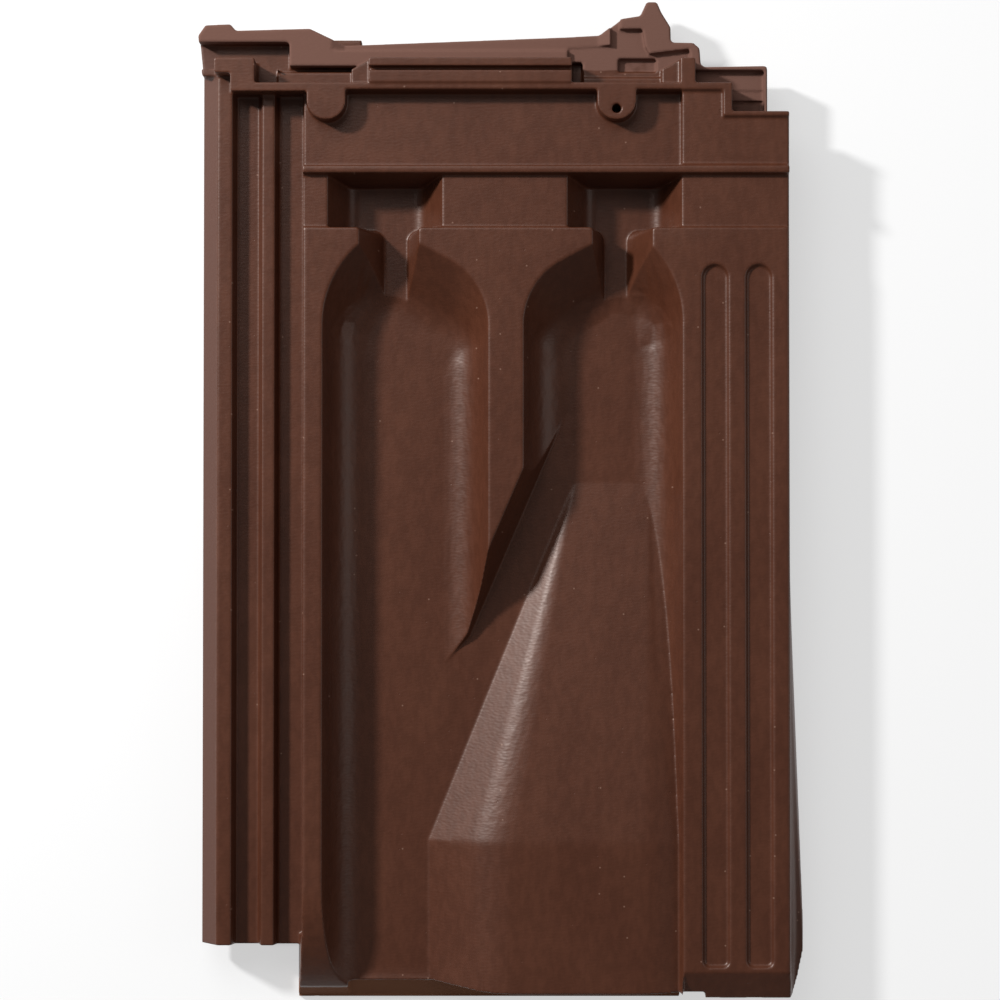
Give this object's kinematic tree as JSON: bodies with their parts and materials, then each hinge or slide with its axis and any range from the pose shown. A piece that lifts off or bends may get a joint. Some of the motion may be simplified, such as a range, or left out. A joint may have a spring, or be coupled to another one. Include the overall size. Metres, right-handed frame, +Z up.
{
  "type": "clay roof tile",
  "caption": "Double-trough interlocking clay roof tile with a ramped foot, side and head locks, pockets, lugs and hanging nibs.",
  "frame": {"origin": "middle of the bounding box, on the level the tile lies on", "axes": "+Y towards the head (the ridge side on a roof), +X towards the right edge seen from above, +Z up out of the weather face"},
  "size_m": [0.2899, 0.479, 0.0363],
  "materials": {
    "engobed_clay": "satin dark brown engobe"
  },
  "bodies": {
    "root": {"tile": "engobed_clay"}
  },
  "joints": []
}
